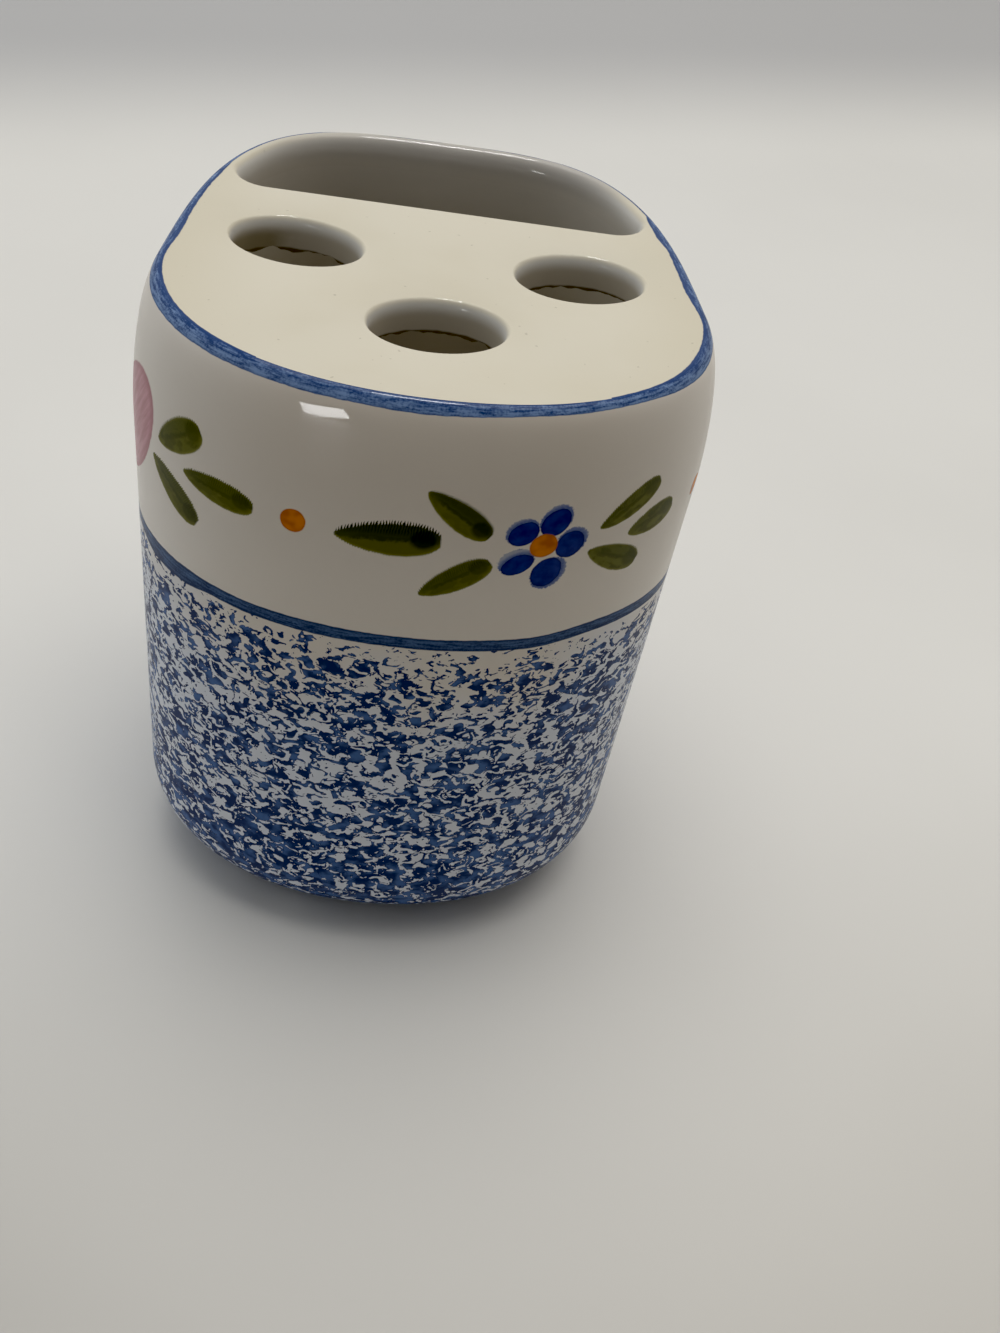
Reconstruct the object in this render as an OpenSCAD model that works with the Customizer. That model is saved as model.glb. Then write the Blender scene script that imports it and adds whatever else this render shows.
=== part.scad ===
// Glazed ceramic toothbrush holder: a rounded body that stands by itself, a deck with three oval
// brush holes, and a wide slot at the back for a tube of toothpaste. The holes and the slot open
// into one space inside.
// Millimetres, +Z up. The origin is the centre of the body's box, at the height of the table.
// The front of the body faces -Y.

/* [Body] */
// Overall height, from the table to the deck
body_h = 110; // [80:1:150]
// Width of the body across the line that its outline is drawn about
body_w = 87.6; // [76:0.2:120]
// Depth from the widest line to the front
front_reach = 38.5; // [34:0.5:60]
// Depth from the widest line to the back
back_reach = 54; // [48:0.5:75]
// Roundness of the front half's outline, where 2 is an ellipse
front_round_share = 2.08; // [2:0.02:3]
// Roundness of the back half's outline, where 2 is an ellipse
back_round_share = 3.3; // [2:0.1:4]
// Share of the width that is lost between the widest line and the back
back_narrow_share = 0.126; // [0:0.01:0.25]
// How far each side leans in from the shoulder to the foot
side_lean = 2.2; // [0:0.1:4]
// How far the front leans in from the shoulder to the foot
front_lean = 0.9; // [0:0.1:3]
// Thickness of the wall, measured at the rim
wall_t = 6.2; // [5.6:0.1:8]
// Height of the rounded shoulder below the deck
shoulder_h = 21; // [12:0.5:30]
// Distance from the widest outline in to the flat deck
deck_edge_in = 4.2; // [2.5:0.1:5.2]
// Height and reach of the rounding between the wall and the underside
base_round = 16; // [10:0.5:20]

/* [Deck] */
// Thickness of the deck
deck_t = 5; // [3.5:0.1:8]
// Length of a brush hole's oval, from side to side
brush_hole_w = 19.4; // [17:0.1:22]
// Width of a brush hole's oval, from front to back
brush_hole_d = 14.2; // [12:0.1:16]
// Distance between the centres of the two outer brush holes
brush_pitch = 43.2; // [38:0.1:46]
// Left brush hole's centre behind the widest line
left_hole_back = 6.2; // [3:0.1:8]
// Right brush hole's centre behind the widest line
right_hole_back = 5.2; // [3:0.1:8]
// Middle brush hole's centre in front of the widest line
middle_hole_front = 14.4; // [10:0.1:17]
// Anticlockwise turn of the left brush hole, seen from above
left_hole_turn = -8; // [-15:1:15]
// Anticlockwise turn of the middle brush hole, seen from above
middle_hole_turn = 8; // [-15:1:15]
// Anticlockwise turn of the right brush hole, seen from above
right_hole_turn = 10; // [-15:1:15]
// How far the lip of each brush hole is rounded outwards from the hole
hole_lip = 0.9; // [0.4:0.1:1.5]
// How far the lip of each brush hole is rounded down into the hole
hole_lip_drop = 2.4; // [1:0.1:3]

/* [Paste slot] */
// Slot's front edge behind the widest line
slot_front = 23.9; // [21:0.1:27]
// How much further back the slot's front edge is at its left end than in the middle
slot_skew = 0.6; // [-1:0.1:1]
// Radius of the slot's two front corners
slot_corner_r = 5; // [2:0.1:8]
// How far the lip of the slot is rounded outwards from the slot
slot_lip = 1.5; // [0.4:0.1:1.7]
// How far the lip of the slot is rounded down into the slot
slot_lip_drop = 3.2; // [1:0.1:3.3]

/* [Base] */
// Thickness of the floor
floor_t = 5; // [3:0.1:7]
// Height of the dry foot ring
foot_h = 1; // [0.5:0.1:3]
// Size of the floor slab as a share of the underside
floor_share = 0.9; // [0.8:0.01:0.92]
// Outer edge of the foot ring as a share of the underside
foot_outer_share = 0.97; // [0.94:0.01:0.99]
// Inner edge of the foot ring as a share of the underside
foot_inner_share = 0.8; // [0.6:0.01:0.86]

/* [Hidden] */

// Points round the body's outline
outline_n = 96;
// Steps in the shoulder's curve and in the base's rounding
shoulder_steps = 10;
base_steps = 8;
// Steps in a lip's quarter oval and in a slot corner's arc
lip_steps = 6;
corner_steps = 6;
// Points round a brush hole
hole_n = 64;
quarter = 90;
full_turn = 360;

half_w = body_w / 2;
// The widest line lies this far in front of the middle of the body's box
widest_y = (front_reach - back_reach) / 2;
floor_top = foot_h + floor_t;
deck_under = body_h - deck_t;
shoulder_z = body_h - shoulder_h;
base_round_z = foot_h + base_round;
// The inner corner runs parallel to the outer one, so that the wall keeps its thickness there
inner_round = base_round - floor_t;
// Overrun that lets a cut pass clear through a face
overrun = body_h / 50;

// Centre and turn of each brush hole. The holes are cut by hand, so each has its own turn.
BRUSH_HOLES = [
    [-brush_pitch / 2, left_hole_back, left_hole_turn],
    [0, -middle_hole_front, middle_hole_turn],
    [brush_pitch / 2, right_hole_back, right_hole_turn]
];

cream = "#e9e4d6";
white_glaze = "#e4e1dc";
well_glaze = "#cfcac0";
dry_clay = "#cdbfa8";

// The body's outline as a polar superellipse about its widest line, narrowed towards the back
function outline_radius(c, s, reach, power) =
    pow(pow(abs(c) / half_w, power) + pow(abs(s) / reach, power), -1 / power);

function outline_point(angle) =
    let (
        c = cos(angle),
        s = sin(angle),
        reach = s < 0 ? front_reach : back_reach,
        power = s < 0 ? front_round_share : back_round_share,
        r = outline_radius(c, s, reach, power),
        narrowing = 1 - back_narrow_share * r * s / back_reach
    )
    [r * c * narrowing, r * s];

OUTLINE = [for (i = [0:outline_n - 1]) outline_point(i * full_turn / outline_n)];

function unit(v) = v / norm(v);

// Outward direction at point i of a closed outline that runs anticlockwise
function outward(points, i) =
    let (
        n = len(points),
        along = unit(points[(i + 1) % n] - points[(i + n - 1) % n])
    )
    [along.y, -along.x];

function moved_in(points, distance) =
    [for (i = [0:len(points) - 1]) points[i] - distance * outward(points, i)];

function sized(points, share) = [for (p = points) p * share];

// Leans the outline in, from none at the shoulder to all of it at the base's rounding
function leaned(points, share) =
    let (
        x_scale = 1 - side_lean * share / half_w,
        y_scale = 1 - front_lean * share / front_reach
    )
    [for (p = points) [p.x * x_scale, p.y * y_scale]];

function at_height(points, z) = [for (p = points) [p.x, p.y, z]];

INNER = moved_in(OUTLINE, wall_t);
DECK_EDGE = moved_in(OUTLINE, deck_edge_in);
UNDERSIDE = sized(leaned(OUTLINE, 1), 1 - base_round / half_w);
FLOOR = sized(UNDERSIDE, floor_share);

// Ring i of the rounding at the foot of a wall, from 0 at the wall to base_steps at the bottom
function base_ring(points, radius, i) =
    let (
        angle = quarter * i / base_steps,
        share = 1 - radius * (1 - cos(angle)) / half_w
    )
    at_height(sized(leaned(points, 1), share), base_round_z - radius * sin(angle));

// Rings of the outer skin, from the underside up round the base, the wall and the shoulder
outer_rings = concat(
    [for (i = [base_steps:-1:0]) base_ring(OUTLINE, base_round, i)],
    [
        for (i = [shoulder_steps:-1:0])
            let (angle = quarter * i / shoulder_steps)
            at_height(
                moved_in(OUTLINE, deck_edge_in * (1 - sin(angle))),
                body_h - shoulder_h * (1 - cos(angle))
            )
    ]
);
// Rings of the space inside, from the deck's underside down round the corner to the floor
inner_rings = concat(
    [at_height(INNER, deck_under), at_height(INNER, shoulder_z)],
    [for (i = [0:base_steps]) base_ring(INNER, inner_round, i)]
);

// Two triangles for each side between ring k and the ring after it, for the first spans rings
function side_faces(count, n, spans, inward) = [
    for (k = [0:spans - 1])
        for (i = [0:n - 1])
            let (
                next_ring = ((k + 1) % count) * n,
                next_point = (i + 1) % n,
                a = k * n + i,
                b = k * n + next_point,
                c = next_ring + next_point,
                d = next_ring + i
            )
            each inward ? [[a, b, c], [a, c, d]] : [[a, c, b], [a, d, c]]
];

function ring_points(rings) = [for (ring = rings) for (p = ring) p];

// A closed band through a loop of rings, each ring joined to the next and the last to the first
module ring_band(rings) {
    count = len(rings);
    polyhedron(
        points = ring_points(rings),
        faces = side_faces(count, len(rings[0]), count, false)
    );
}

// A closed body through a stack of rings, from the highest down, with a flat cap at each end
module ring_stack(rings) {
    count = len(rings);
    n = len(rings[0]);
    top = [[for (i = [n - 1:-1:0]) i]];
    bottom = [[for (i = [0:n - 1]) (count - 1) * n + i]];
    polyhedron(
        points = ring_points(rings),
        faces = concat(side_faces(count, n, count - 1, true), top, bottom)
    );
}

// Half the width of an outline at the height y on its plan
function half_width_at(points, y) =
    let (n = len(points))
    max([
        for (i = [0:n - 1])
            let (
                p = points[i],
                q = points[(i + 1) % n]
            )
            if ((p.y - y) * (q.y - y) <= 0 && p.y != q.y)
                abs(p.x + (q.x - p.x) * (y - p.y) / (q.y - p.y))
    ]);

// Centre of a front corner of the slot, where side is -1 for the left one and 1 for the right one
function corner_y(side) = slot_front + slot_corner_r - side * slot_skew;

function corner_x(side) = side * (half_width_at(INNER, corner_y(side)) - slot_corner_r);

function corner_arc(side, from) = [
    for (i = [0:corner_steps])
        let (angle = from + quarter * i / corner_steps)
        [corner_x(side), corner_y(side)] + slot_corner_r * [cos(angle), sin(angle)]
];

// The slot's mouth: the inner wall's outline behind the corners, then the two round corners
SLOT_MOUTH = concat(
    [for (p = INNER) if (p.y > corner_y(sign(p.x))) p],
    corner_arc(-1, 2 * quarter),
    corner_arc(1, 3 * quarter)
);

// One brush hole's oval on the plan
function brush_oval(x, y, turn) = [
    for (i = [0:hole_n - 1])
        let (
            angle = i * full_turn / hole_n,
            along = brush_hole_w / 2 * cos(angle),
            across = brush_hole_d / 2 * sin(angle)
        )
        [x + along * cos(turn) - across * sin(turn), y + along * sin(turn) + across * cos(turn)]
];

// A cut through the deck with the plan's outline and a quarter oval lip at the deck's surface
module lipped_cut(points, reach, drop) {
    lip_rings = [
        for (i = [lip_steps:-1:0])
            let (angle = quarter * i / lip_steps)
            at_height(
                moved_in(points, -reach * (1 - cos(angle))),
                body_h - drop * (1 - sin(angle))
            )
    ];
    ring_stack(concat(
        [at_height(moved_in(points, -reach), body_h + overrun)],
        lip_rings,
        [at_height(points, deck_under - overrun)]
    ));
}

// The body's shell, with a ledge under the deck and a flange round the floor
module outer_wall() {
    ledge = at_height(DECK_EDGE, deck_under);
    flange = [at_height(FLOOR, floor_top), at_height(FLOOR, foot_h)];
    color(white_glaze)
        translate([0, widest_y, 0])
            ring_band(concat(outer_rings, [ledge], inner_rings, flange));
}

// The cream deck, let into the rim and seated on the ledge
module top_deck() {
    color(cream)
        difference() {
            translate([0, widest_y, deck_under])
                linear_extrude(deck_t)
                    polygon(DECK_EDGE);
            translate([0, widest_y, 0]) {
                for (hole = BRUSH_HOLES)
                    lipped_cut(brush_oval(hole[0], hole[1], hole[2]), hole_lip, hole_lip_drop);
                lipped_cut(SLOT_MOUTH, slot_lip, slot_lip_drop);
            }
        }
}

// The floor inside the shell's flange
module floor_slab() {
    color(well_glaze)
        translate([0, widest_y, foot_h])
            linear_extrude(floor_t)
                polygon(FLOOR);
}

// The dry ring that the holder stands on, under the joint of the flange and the floor
module foot_ring() {
    color(dry_clay)
        translate([0, widest_y, 0])
            linear_extrude(foot_h)
                difference() {
                    polygon(sized(UNDERSIDE, foot_outer_share));
                    polygon(sized(UNDERSIDE, foot_inner_share));
                }
}

outer_wall();
top_deck();
floor_slab();
foot_ring();
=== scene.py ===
"""A glazed ceramic toothbrush holder with a painted band and a sponged lower half.

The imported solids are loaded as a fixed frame. Each of them is replaced by a smoother piece of the
same size, which carries the glazes, the painted lines, the leaves and flowers and the sponging.
Lengths are in metres, +Z is up, and the front of the body faces -Y.
"""

from __future__ import annotations

import logging
import math
from collections.abc import Callable, Mapping, Sequence
from dataclasses import dataclass
from enum import Enum, IntEnum
from functools import cached_property, reduce
from itertools import accumulate
from typing import Any

import bmesh
import bpy
from mathutils import Matrix, Quaternion, Vector, noise


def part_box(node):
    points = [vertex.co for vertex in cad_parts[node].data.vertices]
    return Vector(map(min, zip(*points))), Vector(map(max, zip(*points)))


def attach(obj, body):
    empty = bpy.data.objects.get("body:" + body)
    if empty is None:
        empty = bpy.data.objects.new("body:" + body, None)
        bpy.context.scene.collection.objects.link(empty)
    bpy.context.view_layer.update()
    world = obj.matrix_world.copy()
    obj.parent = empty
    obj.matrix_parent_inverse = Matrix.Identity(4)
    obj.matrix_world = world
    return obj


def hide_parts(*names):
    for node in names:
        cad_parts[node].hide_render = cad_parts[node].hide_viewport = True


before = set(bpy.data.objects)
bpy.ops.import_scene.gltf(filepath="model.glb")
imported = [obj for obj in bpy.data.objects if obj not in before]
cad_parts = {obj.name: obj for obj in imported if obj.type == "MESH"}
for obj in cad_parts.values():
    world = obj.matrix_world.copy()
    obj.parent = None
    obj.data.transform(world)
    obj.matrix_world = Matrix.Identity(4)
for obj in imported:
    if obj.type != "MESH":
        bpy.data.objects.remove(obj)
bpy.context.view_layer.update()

MM = 0.001
QUARTER = math.pi / 2
FULL_TURN = 2 * math.pi
LOG = logging.getLogger("toothbrush_holder")

Colour = tuple[float, float, float]
Span = tuple[float, float]
Places = dict[bmesh.types.BMVert, tuple[float, float]]


class Slot(Enum):
    """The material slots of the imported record."""

    PAINTED_GLAZE = "painted_glaze"
    CREAM_GLAZE = "cream_glaze"
    WELL_GLAZE = "well_glaze"
    DRY_CLAY = "dry_clay"


class Skin(IntEnum):
    """The two skins of the wall, by the index of their material."""

    OUTER = 0
    INNER = 1


def operator(operation: str, swapped: bool = False) -> Callable[[Flow, Number], Flow]:
    """Makes a method of Flow that adds a Math node.

    Args:
        operation: The node's operation.
        swapped: Whether the other value comes first.

    Returns:
        The method.
    """

    def method(flow: Flow, other: Number) -> Flow:
        """Returns the operation's result for this value and another."""
        values = (other, flow) if swapped else (flow, other)
        return flow.board.math(operation, *values)

    return method


class Flow:
    """An output of a shader node, with arithmetic that adds Math nodes."""

    def __init__(self, board: Board, socket: bpy.types.NodeSocket) -> None:
        """Keeps the output and the board that it is on."""
        self.board = board
        self.socket = socket

    __add__ = __radd__ = operator("ADD")
    __sub__ = operator("SUBTRACT")
    __rsub__ = operator("SUBTRACT", swapped=True)
    __mul__ = __rmul__ = operator("MULTIPLY")
    __truediv__ = operator("DIVIDE")
    __rtruediv__ = operator("DIVIDE", swapped=True)
    __pow__ = operator("POWER")
    __lt__ = operator("LESS_THAN")
    __gt__ = operator("GREATER_THAN")
    most = operator("MAXIMUM")
    least = operator("MINIMUM")

    def __abs__(self) -> Flow:
        """Returns the size of this value without its sign."""
        return self.board.math("ABSOLUTE", self)

    def rise(self, low: float, high: float) -> Flow:
        """Returns a smooth step from 0 at low to 1 at high, where low may be the larger."""
        settings = {"interpolation_type": "SMOOTHSTEP"}
        return self.board.add("ShaderNodeMapRange", settings, {0: self, 1: low, 2: high})


Number = Flow | float


class Board:
    """The node board of one material or of the world, on which colours are laid in order."""

    def __init__(self, owner: bpy.types.Material | bpy.types.World, ground: Colour) -> None:
        """Clears the owner's board.

        Args:
            owner: The material or the world that the board is part of.
            ground: The colour that all the others are laid over.
        """
        owner.use_nodes = True
        self.owner = owner
        self.colour: Flow | Colour = ground
        self.tree = owner.node_tree
        self.tree.nodes.clear()

    @classmethod
    def of_material(cls, name: str, ground: Colour) -> Board:
        """Makes a new material and returns its board."""
        return cls(bpy.data.materials.new(name), ground)

    def add(
        self,
        kind: str,
        settings: Mapping[str, Any] | None = None,
        sockets: Mapping[int | str, Any] | None = None,
        out: int | str = 0,
    ) -> Flow:
        """Adds one node, sets it up and joins its inputs.

        Args:
            kind: The node's type, such as ShaderNodeMapping.
            settings: The node's own settings, which are set first.
            sockets: The value or the link of each input, by its name or its number.
            out: The output to hand back.

        Returns:
            The chosen output, or the first input of a node that has no outputs.
        """
        node = self.tree.nodes.new(kind)
        for name, value in (settings or {}).items():
            setattr(node, name, value)
        for key, value in (sockets or {}).items():
            if isinstance(value, Flow):
                self.tree.links.new(value.socket, node.inputs[key])
            elif node.inputs[key].type == "RGBA":
                node.inputs[key].default_value = (*value, 1.0)
            else:
                node.inputs[key].default_value = value
        return Flow(self, node.outputs[out] if node.outputs else node.inputs[0])

    def math(self, operation: str, *values: Number) -> Flow:
        """Returns the result of a Math node with these inputs."""
        return self.add("ShaderNodeMath", {"operation": operation}, dict(enumerate(values)))

    def vector_math(self, operation: str, *values: Any, out: int = 0) -> Flow:
        """Returns the result of a Vector Math node with these inputs."""
        sockets = dict(enumerate(values))
        return self.add("ShaderNodeVectorMath", {"operation": operation}, sockets, out)

    def length(self, vector: Flow) -> Flow:
        """Returns the length of a vector."""
        return self.vector_math("LENGTH", vector, out=1)

    def mix(self, factor: Number, first: Flow | Colour, second: Flow | Colour) -> Flow:
        """Returns the first colour where the factor is 0 and the second where it is 1."""
        settings = {"data_type": "RGBA"}
        return self.add("ShaderNodeMix", settings, {0: factor, 6: first, 7: second}, 2)

    def lay(self, factor: Number, colour: Flow | Colour) -> None:
        """Lays a colour over those before it, thinly where the factor is small."""
        self.colour = self.mix(factor, self.colour, colour)

    def axes(self, vector: Flow) -> list[Flow]:
        """Returns the X, Y and Z of a vector."""
        split = self.add("ShaderNodeSeparateXYZ", sockets={0: vector})
        return [Flow(self, output) for output in split.socket.node.outputs]

    def join(self, x: Number, y: Number, z: Number = 0.0) -> Flow:
        """Returns the vector with these X, Y and Z."""
        return self.add("ShaderNodeCombineXYZ", sockets={0: x, 1: y, 2: z})

    def noise(
        self,
        at: Flow,
        scale: float,
        detail: float = 2.0,
        roughness: float = 0.5,
        distortion: float = 0.0,
        out: int = 0,
    ) -> Flow:
        """Adds a noise texture.

        Args:
            at: Where the noise is read.
            scale: How many features there are to one unit of length.
            detail: How many finer layers it has.
            roughness: The strength of each finer layer against the one before.
            distortion: How far the noise is twisted by itself.
            out: 0 for its number and 1 for its colour.

        Returns:
            The noise, about 0.5.
        """
        names = ("Vector", "Scale", "Detail", "Roughness", "Distortion")
        values = (at, scale, detail, roughness, distortion)
        return self.add("ShaderNodeTexNoise", sockets=dict(zip(names, values)), out=out)

    @cached_property
    def object_place(self) -> Flow:
        """The point's place on the object, in metres."""
        return self.add("ShaderNodeTexCoord", out="Object")

    @cached_property
    def wander(self) -> Flow:
        """A slow noise about 0, for the wobble of the hand that painted the lines."""
        return self.noise(self.object_place, 70.0, 1.0) - 0.5

    def uv_place(self, name: str) -> Flow:
        """Returns the point's place in the piece's own UV map of that name, in metres."""
        return self.add("ShaderNodeUVMap", {"uv_map": name})

    def surface(
        self, sockets: Mapping[str, float], height: Flow, depth: float, strength: float
    ) -> bpy.types.Material:
        """Ends the board with one Principled shader in the colour that is laid.

        Args:
            sockets: The values of the shader's other inputs.
            height: The height of the bumps, from 0 to 1.
            depth: How far a height of 1 stands above a height of 0, in metres.
            strength: The share of the bumps' slope that shows.

        Returns:
            The finished material.
        """
        bump = {"Height": height, "Distance": depth, "Strength": strength}
        normal = self.add("ShaderNodeBump", sockets=bump)
        inputs = {"Base Color": self.colour, "Normal": normal, **sockets}
        shader = self.add("ShaderNodeBsdfPrincipled", sockets=inputs)
        self.add("ShaderNodeOutputMaterial", sockets={"Surface": shader})
        return self.owner


@dataclass(frozen=True)
class BodyPlan:
    """The plan that the wall, the deck and the foot are all drawn from.

    It is a superellipse about the body's widest line, fuller behind that line than in front of
    it, and narrowed towards the back. Rings start at the back's middle and run anticlockwise.
    """

    half_width: float = 43.8 * MM
    front_reach: float = 38.5 * MM
    back_reach: float = 54.0 * MM
    front_round: float = 2.08
    back_round: float = 3.3
    back_narrow: float = 0.126
    side_lean: float = 2.2 * MM
    front_lean: float = 0.9 * MM
    count: int = 288

    @property
    def widest_y(self) -> float:
        """The Y of the body's widest line, which lies in front of the middle of its box."""
        return (self.front_reach - self.back_reach) / 2

    def point(self, angle: float) -> Vector:
        """Finds a point of the outline.

        Args:
            angle: The angle anticlockwise from +X, about the widest line's middle.

        Returns:
            The point on the plan.
        """
        c, s = math.cos(angle), math.sin(angle)
        reach = self.front_reach if s < 0 else self.back_reach
        power = self.front_round if s < 0 else self.back_round
        r = (abs(c / self.half_width) ** power + abs(s / reach) ** power) ** (-1 / power)
        narrowing = 1 - self.back_narrow * r * s / self.back_reach
        return Vector((r * c * narrowing, r * s))

    @cached_property
    def outline(self) -> list[Vector]:
        """The outline's points, from the back's middle and anticlockwise."""
        step = FULL_TURN / self.count
        return [self.point(QUARTER + i * step) for i in range(self.count)]

    @cached_property
    def outward(self) -> list[Vector]:
        """The outward direction at each of the outline's points."""
        return outward_of(self.outline)

    @cached_property
    def runs(self) -> list[float]:
        """The distance of each point along the outline from the front's middle, + to the right."""
        sides = ((b - a).length for a, b in zip(self.outline, self.outline[1:]))
        return [run - self.length / 2 for run in accumulate(sides, initial=0.0)]

    @cached_property
    def length(self) -> float:
        """The length of the whole outline."""
        closed = [*self.outline, self.outline[0]]
        return sum((b - a).length for a, b in zip(closed, closed[1:]))

    def ring(self, z: float, inset: float = 0.0, lean: float = 0.0, share: float = 1.0) -> list[Vector]:
        """Draws the outline at a height.

        Args:
            z: The height above the table.
            inset: How far it is moved in, square to itself.
            lean: How much of the wall's lean it has, from 0 at the shoulder to 1 at the base.
            share: Its size as a share of the whole.

        Returns:
            The ring's points.
        """
        x_scale = (1 - self.side_lean * lean / self.half_width) * share
        y_scale = (1 - self.front_lean * lean / self.front_reach) * share
        points = []
        for p, out in zip(self.outline, self.outward):
            moved = p - inset * out
            points.append(Vector((moved.x * x_scale, moved.y * y_scale + self.widest_y, z)))
        return points


def outward_of(points: Sequence[Vector]) -> list[Vector]:
    """Returns the outward direction at each point of a closed anticlockwise outline."""
    alongs = [points[(i + 1) % len(points)] - points[i - 1] for i in range(len(points))]
    return [Vector((along.y, -along.x)).normalized() for along in alongs]


def evenly(points: Sequence[Vector], count: int) -> list[Vector]:
    """Spaces points evenly round a closed outline.

    Args:
        points: The outline's corners.
        count: How many points to make.

    Returns:
        The evenly spaced points.
    """
    closed = [*points, points[0]]
    sides = [(a, b, (b - a).length) for a, b in zip(closed, closed[1:])]
    step = sum(side for _, _, side in sides) / count
    spaced = []
    reached = 0.0
    for a, b, side in sides:
        while len(spaced) * step < reached + side and len(spaced) < count:
            spaced.append(a.lerp(b, (len(spaced) * step - reached) / side))
        reached += side
    return spaced


class Loft:
    """A closed loop of vertices that is extruded from ring to ring."""

    def __init__(self, mesh: bmesh.types.BMesh, ring: Sequence[Vector]) -> None:
        """Starts the loft from a circle that is moved on to the first ring.

        Args:
            mesh: The mesh that the loft is part of.
            ring: The first ring's points.
        """
        self.mesh = mesh
        circle = bmesh.ops.create_circle(mesh, segments=len(ring), radius=1.0)
        self.loop: list[bmesh.types.BMVert] = circle["verts"]
        self.first = self.loop
        self._move(ring)

    def _move(self, ring: Sequence[Vector]) -> None:
        """Moves the loop on to a ring."""
        for vert, point in zip(self.loop, ring):
            vert.co = point

    @property
    def edges(self) -> list[bmesh.types.BMEdge]:
        """The edges of the loop as it stands."""
        return self.edges_of(self.loop)

    def edges_of(self, loop: Sequence[bmesh.types.BMVert]) -> list[bmesh.types.BMEdge]:
        """Returns the edges round a closed loop of vertices."""
        return [self.mesh.edges.get((a, b)) for a, b in zip(loop, [*loop[1:], loop[0]])]

    def extrude(self, ring: Sequence[Vector], material: int = 0) -> list[bmesh.types.BMVert]:
        """Extrudes the loop to the next ring.

        Args:
            ring: The next ring's points.
            material: The material index of the new faces.

        Returns:
            The new loop's vertices.
        """
        made = bmesh.ops.extrude_edge_only(self.mesh, edges=self.edges)["geom"]
        fresh = {v for v in made if isinstance(v, bmesh.types.BMVert)}
        self.loop = [
            next(e.other_vert(v) for e in v.link_edges if e.other_vert(v) in fresh)
            for v in self.loop
        ]
        self._move(ring)
        for face in made:
            if isinstance(face, bmesh.types.BMFace):
                face.material_index = material
        return self.loop

    def close(self, material: int = 0) -> None:
        """Joins the last ring to the first.

        Args:
            material: The material index of the new faces.
        """
        edges = self.edges + self.edges_of(self.first)
        made = bmesh.ops.bridge_loops(self.mesh, edges=edges)
        for face in made["faces"]:
            face.material_index = material

    def cap(self) -> None:
        """Fills the loop as it stands with one flat face."""
        bmesh.ops.contextual_create(self.mesh, geom=self.edges)


def fill_between(mesh: bmesh.types.BMesh, lofts: Sequence[Loft]) -> None:
    """Fills the flat space inside the first loft's loop and outside all the others."""
    edges = [edge for loft in lofts for edge in loft.edges]
    bmesh.ops.triangle_fill(mesh, use_beauty=True, edges=edges, normal=(0.0, 0.0, 1.0))


@dataclass(frozen=True)
class Piece:
    """A finished piece: its name, the solid that it stands for and its finish.

    An edge is sharp where the angle between its two faces is over sharp_over, in degrees.
    """

    name: str
    node: str
    slot: Slot
    sharp_over: float = 40.0

    def make(self, mesh: bmesh.types.BMesh, *materials: bpy.types.Material) -> bpy.types.Object:
        """Makes the object of a finished mesh and ties it to the frame.

        Args:
            mesh: The mesh, which is freed.
            materials: The materials, in the order of the faces' material indices.

        Returns:
            The new object.
        """
        bmesh.ops.recalc_face_normals(mesh, faces=mesh.faces)
        for face in mesh.faces:
            face.smooth = True
        for edge in mesh.edges:
            edge.smooth = edge.calc_face_angle(0.0) < math.radians(self.sharp_over)
        data = bpy.data.meshes.new(self.name)
        mesh.to_mesh(data)
        mesh.free()
        for material in materials:
            data.materials.append(material)
        piece = bpy.data.objects.new(self.name, data)
        bpy.context.scene.collection.objects.link(piece)
        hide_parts(self.node)
        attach(piece, "root")
        return piece


@dataclass(frozen=True)
class Stroke:
    """One painted touch of the brush, on the wall that is laid out flat.

    Its lengths are in millimetres and its turn in degrees. Along is measured from the front's
    middle and is + to the right. Up is measured from the deck's edge and is - below it. The
    stroke runs from its thin tip to its round end.
    """

    along: float
    up: float
    length: float
    half_width: float
    turn: float
    tone: float = 0.0

    def local(self, at: Flow, mark: float = 0.0) -> Flow:
        """Lays the stroke's own coordinates over the wall.

        Args:
            at: The point on the laid out wall.
            mark: A small number that Z holds all over.

        Returns:
            A vector whose X runs from -1 at the tip to 1 at the round end, and whose Y runs
            from -1 at the lower edge to 1 at the upper edge.
        """
        sockets = {
            "Vector": at,
            "Location": (self.along * MM, self.up * MM, -mark),
            "Rotation": (0.0, 0.0, math.radians(self.turn)),
            "Scale": (self.length * MM / 2, self.half_width * MM, 1.0),
        }
        return at.board.add("ShaderNodeMapping", {"vector_type": "TEXTURE"}, sockets)


def depth_in(ovals: Sequence[Stroke], at: Flow) -> Flow:
    """Returns how deep a point lies in the nearest oval, 1 at its middle and 0 on its edge."""
    return 1 - reduce(Flow.least, [at.board.length(oval.local(at)) for oval in ovals])


# The leaves of the blue flower's spray, then those of the pink flower's. Their tones run from
# dark leaves with a combed upper edge, near 0, to smooth pale leaves, near 1.
LEAVES = (
    Stroke(-4.3, -21.6, 15.3, 3.0, 4, 0.1),
    Stroke(5.2, -16.6, 11.8, 2.3, -36, 0.3),
    Stroke(5.8, -27.6, 11.8, 2.35, 33, 0.45),
    Stroke(31.8, -17.2, 12.0, 2.1, 29, 0.7),
    Stroke(36.8, -21.3, 9.8, 2.45, 12, 0.95),
    Stroke(30.4, -26.0, 11.2, 2.4, -24, 0.8),
    Stroke(-37.7, -16.7, 11.0, 2.8, 33, 0.55),
    Stroke(-38.8, -26.2, 12.4, 2.55, -32, 0.45),
    Stroke(-30.0, -21.8, 12.8, 2.35, -3, 0.45),
    Stroke(-83.0, -16.4, 10.0, 2.4, 155, 0.3),
    Stroke(-81.6, -26.8, 10.6, 2.4, 214, 0.7),
    Stroke(-88.8, -21.4, 10.4, 2.4, 178, 0.1),
)
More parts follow.
